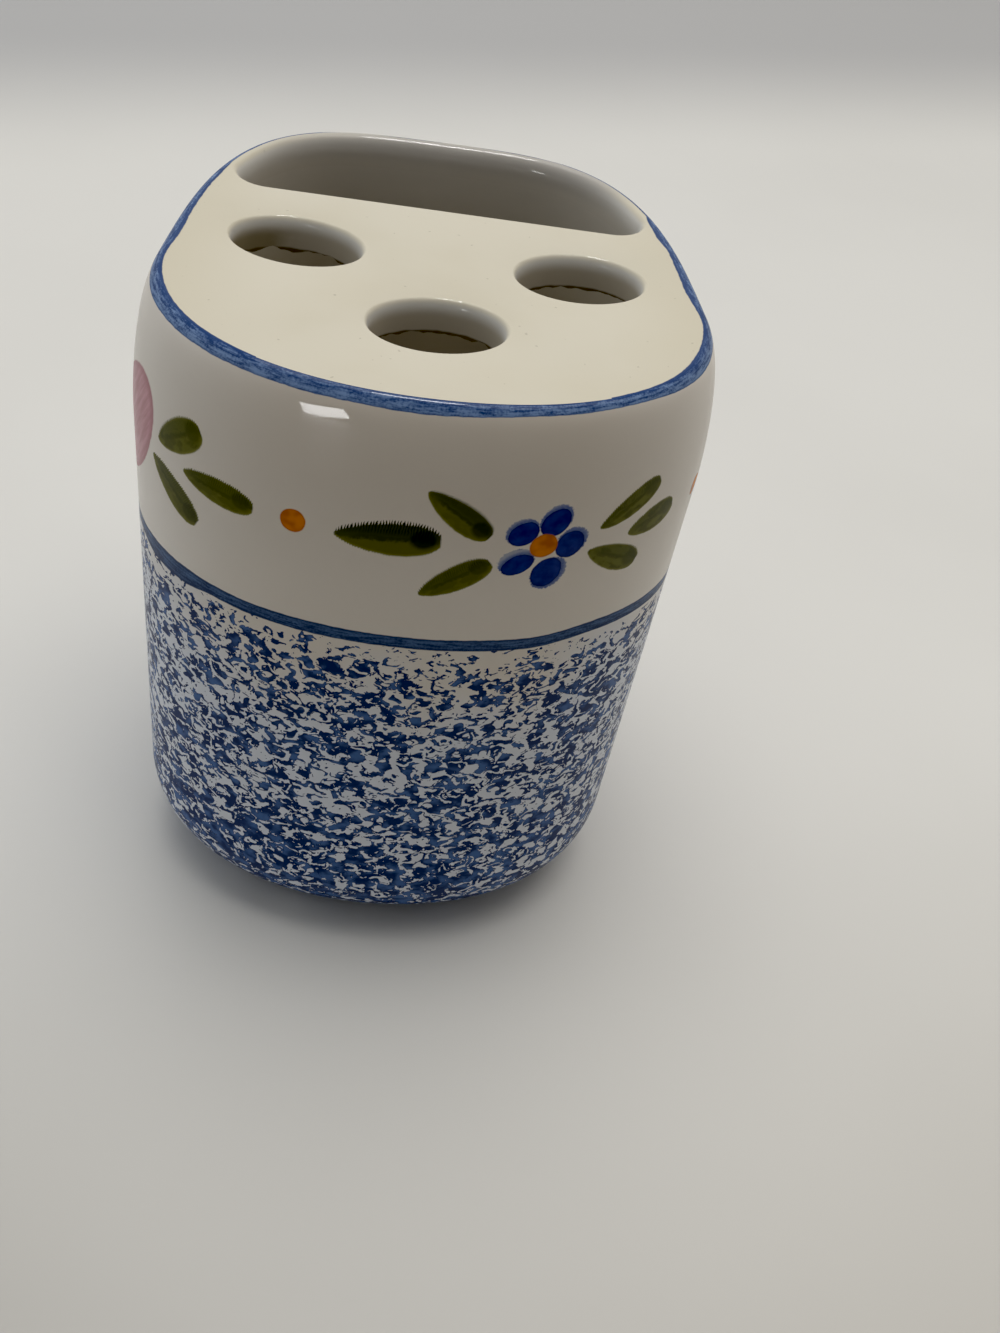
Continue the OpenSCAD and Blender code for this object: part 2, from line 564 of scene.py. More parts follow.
# What Z holds inside a leaf of tone 0. A leaf of tone 1 holds twice as much.
MARK = 0.01
ORANGE_DOTS = (
    Stroke(-17.7, -21.8, 3.8, 2.0, -24),
    Stroke(50.4, -21.8, 3.8, 1.7, 10),
    Stroke(18.0, -21.7, 4.3, 2.1, 12),
)
BLUE_PETALS = (
    Stroke(19.3, -17.9, 5.2, 2.05, 48),
    Stroke(14.7, -19.5, 4.8, 1.9, 32),
    Stroke(14.6, -24.9, 5.1, 1.7, 28),
    Stroke(19.2, -26.6, 5.5, 2.3, 68),
    Stroke(22.1, -21.9, 4.9, 2.2, 60),
)
BLUE_FRINGES = (
    Stroke(19.3, -17.4, 5.8, 2.35, 46),
    Stroke(14.5, -19.1, 5.3, 2.25, 30),
    Stroke(14.3, -24.3, 5.8, 2.3, 22),
    Stroke(19.6, -26.8, 6.4, 2.6, 55),
    Stroke(22.3, -21.5, 5.7, 2.45, 54),
)
# From the lowest petal to the top one.
PINK_PETALS = (
    Stroke(-62.6, -20.0, 19.0, 5.2, 90),
    Stroke(-69.2, -21.8, 20.5, 6.0, 125),
    Stroke(-53.3, -22.3, 24.2, 7.15, 51.6),
)


@dataclass(frozen=True)
class Swell:
    """A stretch of a painted line whose edges the hand moved down."""

    at: float
    reach: float
    top: float
    bottom: float


@dataclass(frozen=True)
class BlueLine:
    """A streaky blue line round the body, between two distances below the deck's edge."""

    top: float
    bottom: float
    dark: Colour
    pale: Colour
    swells: tuple[Swell, ...]
    paler_below: float
    wobble: float = 0.5 * MM
    streaks_along: float = 330.0
    streaks_down: float = 2400.0

    def paint(self, along: Flow, drop: Flow, where: Number = 1.0) -> None:
        """Paints the line.

        Args:
            along: The distance along the outline.
            drop: The distance below the deck's edge.
            where: 1 where the line is painted and 0 where it is left out.
        """
        board = along.board
        top: Number = self.top
        bottom: Number = self.bottom
        for swell in self.swells:
            share = (abs(along - swell.at) / swell.reach).rise(1.0, 0.3)
            top = share * swell.top + top
            bottom = share * swell.bottom + bottom
        half = (bottom - top) * 0.5
        across = (drop + board.wander * self.wobble - top) / half - 1
        brushed = board.join(along * self.streaks_along, drop * self.streaks_down)
        streaks = board.noise(brushed, 1.0, 3.0, 0.6)
        speckle = board.noise(board.join(along, drop), 2600.0) - 0.5
        ragged = board.noise(board.join(along, drop), 700.0) - 0.5
        inside = (abs(across) + ragged * 0.18).rise(1.06, 0.94)
        edge = (abs(across) + ragged * 0.4 - across * 0.12).rise(0.58, 0.98)
        level = streaks + speckle * 0.45 + across * self.paler_below
        pale_share = level.rise(0.33, 0.73) * (1 - edge * 0.85)
        board.lay(inside * where, board.mix(pale_share, self.dark, self.pale))


RIM_LINE = BlueLine(
    top=-0.15 * MM,
    bottom=2.30 * MM,
    dark=(0.018, 0.055, 0.18),
    pale=(0.19, 0.29, 0.50),
    swells=(
        Swell(24.0 * MM, 26.0 * MM, 0.0, -0.65 * MM),
        Swell(82.0 * MM, 22.0 * MM, -0.95 * MM, 0.0),
        Swell(93.0 * MM, 7.0 * MM, -0.7 * MM, 0.0),
        Swell(-82.0 * MM, 22.0 * MM, -0.6 * MM, 0.0),
        Swell(-100.0 * MM, 14.0 * MM, -0.4 * MM, 0.0),
        Swell(147.4 * MM, 32.0 * MM, 0.9 * MM, 0.0),
        Swell(-147.4 * MM, 28.0 * MM, 0.9 * MM, 0.0),
    ),
    paler_below=0.14,
)
WAIST_LINE = BlueLine(
    top=39.1 * MM,
    bottom=41.25 * MM,
    dark=(0.012, 0.037, 0.115),
    pale=(0.080, 0.155, 0.31),
    swells=(
        Swell(36.0 * MM, 17.0 * MM, -0.8 * MM, -0.8 * MM),
        Swell(-41.0 * MM, 10.5 * MM, -0.1 * MM, 1.0 * MM),
    ),
    paler_below=-0.10,
)


@dataclass(frozen=True)
class Sponging:
    """The blue flecks that are dabbed over the lower half."""

    dark: Colour = (0.006, 0.028, 0.12)
    pale: Colour = (0.07, 0.15, 0.36)
    flatness: float = 1.3
    top: float = 43.2 * MM
    fade: float = 5.0 * MM
    patchiness: float = 9.0 * MM
    middle: float = 12.0 * MM
    side_reach: Span = (12.0 * MM, 45.0 * MM)
    side_lift: float = 1.6 * MM
    thick_drop: Span = (70.0 * MM, 100.0 * MM)
    bar: float = 0.61
    gain: float = 0.122
    ink_edge: Span = (-0.004, 0.010)
    ink_pale: Span = (0.01, 0.07)

    def paint(self, along: Flow, drop: Flow) -> None:
        """Paints the flecks, denser further down.

        Args:
            along: The distance along the outline.
            drop: The distance below the deck's edge.
        """
        board = along.board
        flat = (1.0, 1.0, self.flatness)
        place = board.vector_math("MULTIPLY", board.object_place, flat)
        flecks = board.noise(place, 500.0, 2.0, 0.6, 1.0)
        gaps = board.noise(place, 1050.0, 2.0, 0.5, 0.6) - 0.5
        patches = board.noise(place, 65.0) - 0.5
        higher = abs(along - self.middle).rise(*self.side_reach) * self.side_lift
        start = self.top + patches * self.patchiness - higher
        dense = ((drop - start) / self.fade).rise(-0.45, 0.9)
        dense = dense + drop.rise(*self.thick_drop) * 0.48
        over = flecks + gaps * 0.20 + patches * 0.14 - (self.bar - dense * self.gain)
        wash = board.noise(place, 330.0).rise(0.42, 0.66)
        tint = board.mix(over.rise(*self.ink_pale) * wash, self.dark, self.pale)
        board.lay(over.rise(*self.ink_edge) * (drop > WAIST_LINE.bottom), tint)


@dataclass(frozen=True)
class Leaves:
    """The green leaves, each one stroke from its thin tip to its round end."""

    dark: Colour = (0.013, 0.018, 0.001)
    green: Colour = (0.054, 0.060, 0.004)
    olive: Colour = (0.115, 0.113, 0.012)
    light: Colour = (0.165, 0.168, 0.028)
    edge: Colour = (0.23, 0.215, 0.04)
    reach: float = 1.16
    combed_tone: float = 0.08
    smooth_tone: float = 0.64
    tip_taper: float = 0.66
    end_taper: float = 0.42
    fullness: float = 2.04
    bristles: float = 116.0

    def place_in(self, at: Flow) -> Flow:
        """Finds which leaf a point lies in, and where in it. The leaves lie clear of each other.

        Args:
            at: The point on the laid out wall.

        Returns:
            A vector with the leaf's own X and Y, and its tone as a Z of one to two marks.
        """
        board = at.board
        total: Any = (0.0, 0.0, 0.0)
        for leaf in LEAVES:
            local = leaf.local(at, MARK * (1 + leaf.tone))
            near = board.length(local) < self.reach
            total = board.vector_math("MULTIPLY_ADD", local, near, total)
        return total

    def paint(self, at: Flow) -> None:
        """Paints the leaves.

        Args:
            at: The point on the laid out wall.
        """
        board = at.board
        x, y, mark = board.axes(self.place_in(at))
        smooth = mark.rise(MARK * (1 + self.combed_tone), MARK * (1 + self.smooth_tone))
        tip_side = ((x + 1).most(0.0) / 2) ** self.tip_taper
        end_side = ((1 - x).most(0.0) / 2) ** self.end_taper
        within = tip_side * end_side * self.fullness - abs(y)

        grain = board.noise(board.join(x * 8.0, y * 3.0, mark * 700.0), 1.0, 3.0, 0.6) - 0.5
        fuzz = board.noise(board.join(x * 60.0, y * 22.0), 1.0, 1.0) - 0.5
        blotch = board.noise(board.join(x * 2.6, y * 1.6, mark * 400.0), 1.0).rise(0.46, 0.60)
        strands = x * self.bristles - y * 9.0 + grain * 10.0
        comb = board.math("SINE", strands) * 0.5 + grain * 0.5
        teeth = (y.rise(-0.1, 0.4) * 0.17 + 0.05) * (1 - smooth * 0.6)
        inside = (within + comb * teeth - 0.02).rise(-0.04, 0.06) * abs(x).rise(1.0, 0.95)

        upper = (y + 0.10 + grain * 0.7 - smooth * 0.15 + fuzz * 0.3).rise(-0.14, 0.12)
        tint = board.mix(upper, self.olive, self.green)
        tint = board.mix(smooth * (0.55 + fuzz * 0.6), tint, self.light)
        vein = abs(y - 0.03 + grain * 0.35).rise(0.26, 0.06) * x.rise(-0.95, -0.4)
        blob = board.length(board.join(x - 0.66, (y - 0.10) * 0.45)).rise(0.34, 0.18)
        deep = (vein * 0.45).most(blob * (0.9 - smooth * 0.45)).most(blotch * smooth * 0.4)
        dark_paint = deep.most(y.rise(-0.15, 0.45) * (0.62 - smooth * 0.55))
        dark_paint = dark_paint + comb * y.rise(0.1, 0.6) * 0.4
        tint = board.mix(dark_paint.least(1.0).most(0.0), tint, self.dark)
        # The paint's own pale rim, along the lower edge and all round the smooth leaves.
        pale_edge_side = (0.25 - y).rise(0.0, 0.5).most(smooth * 0.7)
        near_edge = (within + fuzz * 0.2).rise(0.22, 0.03) * pale_edge_side
        tint = board.mix(near_edge * 0.85, tint, self.edge)
        board.lay(inside * (mark > MARK / 2), tint)


@dataclass(frozen=True)
class BluePetals:
    """The blue petals, dark where the brush pressed and mottled at their outer edge."""

    dark: Colour = (0.001, 0.008, 0.08)
    core: Colour = (0.003, 0.019, 0.16)
    light: Colour = (0.018, 0.055, 0.28)
    fringe: Colour = (0.17, 0.24, 0.40)

    def paint(self, at: Flow) -> None:
        """Paints the petals' fringes and then their cores.

        Args:
            at: The point on the laid out wall.
        """
        board = at.board
        mottle = board.noise(at, 2600.0, 1.0) - 0.5
        soft = board.noise(at, 600.0) - 0.5
        core = depth_in(BLUE_PETALS, at) + soft * 0.08
        near_core = core.rise(-0.45, -0.05)
        share = (near_core * 0.6 + mottle * 0.9).most(0.0).least(1.0)
        cover = (depth_in(BLUE_FRINGES, at) + mottle * 0.26).rise(0.0, 0.09)
        wash = board.mix(share, self.fringe, self.light)
        board.lay(cover * (0.62 + near_core * 0.33), wash)
        tint = board.mix((soft * 1.8 + 0.30).most(0.0), self.core, self.light)
        tint = board.mix(core.rise(0.16, 0.02) * 0.7, tint, self.dark)
        board.lay(core.rise(-0.02, 0.05), tint)


@dataclass(frozen=True)
class PinkPetals:
    """The pink petals with their long brush streaks."""

    pink: Colour = (0.62, 0.34, 0.38)
    deep: Colour = (0.44, 0.21, 0.235)
    streaks: tuple[float, float, float] = (1.8, 9.0, 1.0)

    def paint(self, at: Flow) -> None:
        """Paints the petals, each over those before it.

        Args:
            at: The point on the laid out wall.
        """
        board = at.board
        for petal in PINK_PETALS:
            local, start = petal.local(at), (petal.along, 0.0, 0.0)
            brushed = board.vector_math("MULTIPLY_ADD", local, self.streaks, start)
            streak = board.noise(brushed, 1.0).rise(0.3, 0.7)
            depth = 1 - board.length(local)
            tint = board.mix(streak * 0.6, self.pink, self.deep)
            tint = board.mix(depth.rise(0.18, 0.02) * 0.85, tint, self.deep)
            board.lay(depth.rise(-0.01, 0.03), tint)


@dataclass(frozen=True)
class OrangeDots:
    """The orange dots and the blue flower's orange middle."""

    orange: Colour = (0.68, 0.21, 0.006)
    edge: Colour = (0.46, 0.12, 0.004)

    def paint(self, at: Flow) -> None:
        """Paints the dots.

        Args:
            at: The point on the laid out wall.
        """
        board = at.board
        depth = depth_in(ORANGE_DOTS, at)
        tint = board.mix(board.noise(at, 500.0, 1.0).rise(0.35, 0.7), self.orange, self.edge)
        tint = board.mix(depth.rise(0.22, 0.02) * 0.8, tint, self.edge)
        board.lay(depth.rise(-0.03, 0.08), tint)


# A glossy glaze shines through its coat alone.
GLOSSY = {"Roughness": 0.5, "Specular IOR Level": 0.0, "Coat IOR": 1.5}


@dataclass(frozen=True)
class PaintedGlaze:
    """White glaze with a blue rim line, a painted band, a waist line and a sponged lower half."""

    uv_map: str
    outline_length: float
    shoulder: Colour = (0.685, 0.62, 0.54)
    band: Colour = (0.785, 0.725, 0.65)
    # Painted light: this lighter colour is laid towards the sides, for the side light and the sheen at
    # their edges.
    side: Colour = (0.84, 0.80, 0.745)
    low: Colour = (0.74, 0.775, 0.85)
    haze: Colour = (0.62, 0.56, 0.47)
    shoulder_drop: Span = (8.0 * MM, 36.0 * MM)
    side_along: Span = (14.0 * MM, 50.0 * MM)
    wash_below_waist: Span = (-2.0 * MM, 24.0 * MM)
    wash_wander: float = 24.0 * MM
    wash_lift: float = 12.0 * MM
    fold_to: float = 52.0 * MM
    shake: float = 0.25 * MM

    def material(self) -> bpy.types.Material:
        """Builds the material.

        Returns:
            The painted glaze.
        """
        board = Board.of_material("painted_glaze", self.shoulder)
        place = board.object_place
        along, up, _ = board.axes(board.uv_place(self.uv_map))
        drop = 0 - up
        sides = abs(along).rise(*self.side_along)
        level = drop + board.wander * self.wash_wander + sides * self.wash_lift
        washed = level.rise(*(WAIST_LINE.bottom + below for below in self.wash_below_waist))
        board.lay(drop.rise(*self.shoulder_drop), self.band)
        # Painted light: the band lightens towards the sides.
        board.lay(sides * 0.8, self.side)
        board.lay(washed * (drop > WAIST_LINE.top), self.low)
        board.lay(board.noise(place, 28.0, 3.0).rise(0.35, 0.75) * 0.10, self.haze)
        Sponging().paint(along, drop)
        at = self.spray_place(along, up)
        for motif in (PinkPetals(), Leaves(), BluePetals(), OrangeDots()):
            motif.paint(at)
        for line in (WAIST_LINE, RIM_LINE):
            line.paint(along, drop)
        coat = {**GLOSSY, "Coat Weight": 0.45, "Coat Roughness": 0.03}
        return board.surface(coat, board.noise(place, 110.0, 1.0), 0.12 * MM, 0.35)

    def spray_place(self, along: Flow, up: Flow) -> Flow:
        """Folds the laid out wall, so that the sprays repeat once round the back.

        Args:
            along: The distance along the outline.
            up: The height above the deck's edge, which is negative.

        Returns:
            The point on the folded wall, shaken a little as by the hand.
        """
        board = along.board
        folded = board.math("WRAP", along, self.fold_to, self.fold_to - self.outline_length / 2)
        fine = board.noise(board.join(along, up), 900.0, out=1)
        way = board.vector_math("SUBTRACT", fine, (0.5, 0.5, 0.5))
        shake = (self.shake, self.shake, 0.0)
        return board.vector_math("MULTIPLY_ADD", way, shake, board.join(folded, up))


@dataclass(frozen=True)
class CreamGlaze:
    """The deck's cream glaze, with white lips, brown hole edges, painted shade down the holes and on
    the back rim, and a blue line at its sides.
    """

    plan: BodyPlan
    deck_edge_in: float
    ground: Colour = (0.71, 0.665, 0.55)
    warm: Colour = (0.655, 0.60, 0.465)
    lip_white: Colour = (0.70, 0.68, 0.635)
    # Painted shade: the grey laid on the back rim behind the slot.
    back_rim_painted_shade: Colour = (0.50, 0.475, 0.44)
    # Painted shade: the darker colour laid down the brush holes' walls.
    wall: Colour = (0.57, 0.52, 0.43)
    slot_wall: Colour = (0.64, 0.60, 0.53)
    stain: Colour = (0.15, 0.115, 0.06)
    old_stain: Colour = (0.34, 0.29, 0.18)
    warm_sides: Span = (22.0 * MM, 40.0 * MM)
    # Where the back rim's painted shade is laid, across and front to back.
    back_shade_x: Span = (-32.0 * MM, -6.0 * MM)
    back_shade_y: Span = (24.0 * MM, 36.0 * MM)
    lip_depth: Span = (0.1 * MM, 0.9 * MM)
    # How deep the painted shade in the brush holes starts and ends.
    hole_shade_depth: Span = (0.9 * MM, 2.8 * MM)
    slot_depth: Span = (0.9 * MM, 4.8 * MM)
    old_stain_x: Span = (-21.0 * MM, -27.0 * MM)
    old_stain_depth: Span = (1.2 * MM, 3.2 * MM)
    old_stain_wander: float = 6.0 * MM
    stain_depth: Span = (4.7 * MM, 5.1 * MM)
    stain_wander: float = 0.6 * MM
    slot_from: float = 8.0 * MM
    along_from: float = 66.9 * MM
    along_share: float = 1.03
    blue_from: float = 24.0 * MM

    def material(self, deck_z: float) -> bpy.types.Material:
        """Builds the material.

        Args:
            deck_z: The height of the deck's surface.

        Returns:
            The cream glaze.
        """
        board = Board.of_material("cream_glaze", self.ground)
        place = board.object_place
        x, y, z = board.axes(place)
        depth = deck_z - z
        in_holes = y < self.slot_from
        cloud = board.noise(place, 45.0, 3.0)
        speck = board.noise(place, 900.0, 1.0)
        ragged = board.noise(place, 300.0, 2.0, 0.6) - 0.5
        board.lay(cloud.rise(0.40, 0.70) * 0.35, self.warm)
        board.lay(abs(x).rise(*self.warm_sides) * 0.55, self.warm)
        board.lay(speck.rise(0.74, 0.80) * 0.25, self.stain)
        board.lay(depth.rise(*self.lip_depth), self.lip_white)
        # Painted shade on the back rim behind the slot, lighter towards the left.
        board.lay(y.rise(*self.back_shade_y) * (x.rise(*self.back_shade_x) * 0.6 + 0.4), self.back_rim_painted_shade)
        # Painted shade: the brush holes' walls darken below the lip.
        board.lay(depth.rise(*self.hole_shade_depth) * in_holes, self.wall)
        board.lay(depth.rise(*self.slot_depth) * (1 - in_holes), self.slot_wall)
        old = (x + ragged * self.old_stain_wander).rise(*self.old_stain_x) * in_holes
        board.lay(old * depth.rise(*self.old_stain_depth) * 0.9, self.old_stain)
        low = (depth + ragged * self.stain_wander).rise(*self.stain_depth)
        board.lay(low * in_holes, self.stain)
        self._blue_edge(x, y)
        coat = {**GLOSSY, "Coat Weight": 0.6, "Coat Roughness": 0.04}
        return board.surface(coat, board.noise(place, 120.0, 1.0), 0.10 * MM, 0.35)

    def _blue_edge(self, x: Flow, y: Flow) -> None:
        """Carries the rim line in over the deck's sides, where the hand painted it wider.

        Args:
            x: The point's X on the object.
            y: The point's Y on the object.
        """
        board, plan = x.board, self.plan
        back = y - plan.widest_y
        front_share = back < 0.0
        power = plan.back_round - front_share * (plan.back_round - plan.front_round)
        reach = plan.back_reach - front_share * (plan.back_reach - plan.front_reach)
        wide = (1 - back * (plan.back_narrow / plan.back_reach)) * plan.half_width
        full = (abs(x) / wide) ** power + (abs(back) / reach) ** power
        share = full ** (1 / power)
        from_outline = board.length(board.join(x, back)) * (1 / share - 1)
        side = (x > 0.0) * 2 - 1
        along = side * (back * self.along_share + self.along_from)
        where = (abs(x) > self.blue_from).most(back > 0.0)
        RIM_LINE.paint(along, self.deck_edge_in - from_outline, where)


@dataclass(frozen=True)
class WellGlaze:
    """The thin satin glaze inside the body, which is white near the deck and thinner below."""

    ground: Colour = (0.585, 0.52, 0.385)
    thin: Colour = (0.49, 0.425, 0.30)
    white: Colour = (0.64, 0.60, 0.53)
    white_from: float = 105.0 * MM
    thin_from: float = 82.0 * MM

    def material(self) -> bpy.types.Material:
        """Builds the material.

        Returns:
            The thin glaze.
        """
        board = Board.of_material("well_glaze", self.ground)
        place = board.object_place
        _, _, z = board.axes(place)
        board.lay(board.noise(place, 60.0, 3.0).rise(0.35, 0.70), self.thin)
        board.lay(z.rise(self.thin_from, self.white_from), self.white)
        coat = {"Roughness": 0.42, "IOR": 1.5, "Coat Weight": 0.6, "Coat Roughness": 0.16}
        return board.surface(coat, board.noise(place, 160.0), 0.15 * MM, 0.5)


@dataclass(frozen=True)
class DryClay:
    """The dry, unglazed clay of the foot."""

    ground: Colour = (0.62, 0.52, 0.40)
    grit: Colour = (0.45, 0.36, 0.26)

    def material(self) -> bpy.types.Material:
        """Builds the material.

        Returns:
            The dry clay.
        """
        board = Board.of_material("dry_clay", self.ground)
        grains = board.noise(board.object_place, 1400.0, 4.0, 0.65)
        board.lay(grains.rise(0.45, 0.72), self.grit)
        return board.surface({"Roughness": 0.92}, grains, 0.10 * MM, 0.8)


@dataclass
class BodyShell:
    """The body's wall: its shoulder, side and base, its inner skin and the ledges it carries."""

    plan: BodyPlan
    height: float
    wall: float = 6.2 * MM
    shoulder: float = 21.0 * MM
    deck_edge_in: float = 4.2 * MM
    deck: float = 5.0 * MM
    base_round: float = 16.0 * MM
    floor: float = 5.0 * MM
    foot: float = 1.0 * MM
    floor_share: float = 0.9
    shoulder_steps: int = 26
    side_steps: int = 24
    base_steps: int = 18
    uv_map: str = "wall_place"

    @property
    def deck_under(self) -> float:
        """The height of the deck's underside."""
        return self.height - self.deck

    @property
    def shoulder_z(self) -> float:
        """The height at which the shoulder's curve starts."""
        return self.height - self.shoulder

    @property
    def base_z(self) -> float:
        """The height at which the base's rounding starts."""
        return self.foot + self.base_round

    @property
    def inner_round(self) -> float:
        """The radius of the inner corner, which runs parallel to the outer one."""
        return self.base_round - self.floor

    @property
    def underside_share(self) -> float:
        """The size of the flat underside as a share of the outline."""
        return 1 - self.base_round / self.plan.half_width

    @property
    def floor_top(self) -> float:
        """The height of the floor."""
        return self.foot + self.floor

    def floor_ring(self, z: float) -> list[Vector]:
        """Returns the floor slab's outline at a height."""
        return self.plan.ring(z, lean=1.0, share=self.underside_share * self.floor_share)

    def base_rings(self, inset: float, radius: float) -> list[list[Vector]]:
        """Draws the rounding at the foot of a wall.

        Args:
            inset: How far the wall is moved in from the outline.
            radius: The rounding's height.

        Returns:
            Its rings, from the wall down to the bottom.
        """
        rings = []
        for i in range(self.base_steps + 1):
            angle = QUARTER * i / self.base_steps
            share = 1 - radius * (1 - math.cos(angle)) / self.plan.half_width
            rings.append(self.plan.ring(self.base_z - radius * math.sin(angle), inset, 1.0, share))
        return rings

    def outer_rings(self) -> list[list[Vector]]:
        """Draws the outer skin.

        Returns:
            Its rings, from the deck's edge down over the shoulder and the side to the underside.
        """
        rings = []
        for i in range(self.shoulder_steps + 1):
            angle = QUARTER * i / self.shoulder_steps
            z = self.height - self.shoulder * (1 - math.cos(angle))
            rings.append(self.plan.ring(z, self.deck_edge_in * (1 - math.sin(angle))))
        for i in range(1, self.side_steps):
            lean = i / self.side_steps
            z = self.shoulder_z + (self.base_z - self.shoulder_z) * lean
            rings.append(self.plan.ring(z, lean=lean))
        return rings + self.base_rings(0.0, self.base_round)

    def inner_rings(self) -> list[list[Vector]]:
        """Draws the space inside.

        Returns:
            Its rings, from the floor up round the corner to the deck's underside.
        """
        corner = self.base_rings(self.wall, self.inner_round)
        top = [self.plan.ring(z, self.wall) for z in (self.shoulder_z, self.deck_under)]
        return corner[::-1] + top

    def build(self, painted: bpy.types.Material, inside: bpy.types.Material) -> bpy.types.Object:
        """Builds the shell.

        Args:
            painted: The glaze of the outer skin.
            inside: The glaze of the inner skin.

        Returns:
            The finished piece.
        """
        mesh = bmesh.new()
        outer = self.outer_rings()
        front = [ring[self.plan.count // 2] for ring in outer]
        steps = ((below - above).length for above, below in zip(front, front[1:]))
        drops = list(accumulate(steps, initial=0.0))
        hidden = [self.floor_ring(self.foot), self.floor_ring(self.floor_top), *self.inner_rings()]
        hidden.append(self.plan.ring(self.deck_under, self.deck_edge_in))
        loft = Loft(mesh, outer[0])
        places = self._places(loft.loop, 0.0)
        for ring, drop in zip(outer[1:], drops[1:]):
            places |= self._places(loft.extrude(ring, Skin.OUTER), drop)
        for ring in hidden:
            places |= self._places(loft.extrude(ring, Skin.INNER), drops[-1])
        loft.close(Skin.INNER)
        self._lay_out(mesh, places)
        piece = Piece("painted_body_shell", "outer_wall", Slot.PAINTED_GLAZE)
        return piece.make(mesh, painted, inside)

    def _places(self, loop: Sequence[bmesh.types.BMVert], drop: float) -> Places:
        """Returns where a loop's vertices lie on the laid out wall."""
        return {vert: (run, -drop) for vert, run in zip(loop, self.plan.runs)}

    def _lay_out(self, mesh: bmesh.types.BMesh, places: Places) -> None:
        """Writes the UV map, in metres, with its seam at the middle of the back.

        Args:
            mesh: The shell's mesh.
            places: The place of each vertex on the laid out wall.
        """
        layer = mesh.loops.layers.uv.new(self.uv_map)
        quarter_way = self.plan.length / 4
        for face in mesh.faces:
            at_seam = any(places[v][0] > quarter_way for v in face.verts)
            for corner in face.loops:
                along, up = places[corner.vert]
                if at_seam and along < -quarter_way:
                    along += self.plan.length
                corner[layer].uv = (along, up)


@dataclass(frozen=True)
class BrushHole:
    """An oval hole for a toothbrush, cut by hand, so each has its own turn."""

    x: float
    y: float
    turn: float
    half_length: float = 9.7 * MM
    half_width: float = 7.1 * MM
    count: int = 96
    burr_apart: float = 60.0
    burr_layers: tuple[tuple[float, float], ...] = ((1.0, 3.0), (0.6, 8.0))

    def ring(self, z: float, out: float = 0.0, ragged: float = 0.0) -> list[Vector]:
        """Draws the hole's outline at a height.

        Args:
            z: The height above the table.
            out: How far it is moved out, square to itself.
            ragged: How far its points are thrown down by chance.

        Returns:
            The ring's points.
        """
        spin = Matrix.Rotation(math.radians(self.turn), 2)
        angles = [FULL_TURN * i / self.count for i in range(self.count)]
        oval = [
            spin @ Vector((self.half_length * math.cos(a), self.half_width * math.sin(a)))
            for a in angles
        ]
        points = []
        for p, way, a in zip(oval, outward_of(oval), angles):
            spot = Vector((math.cos(a), math.sin(a), self.x * self.burr_apart))
            chance = sum(share * noise.noise(spot * scale) for share, scale in self.burr_layers)
            moved = p + out * way
            points.append(Vector((self.x + moved.x, self.y + moved.y, z - ragged * (0.5 + chance))))
        return points


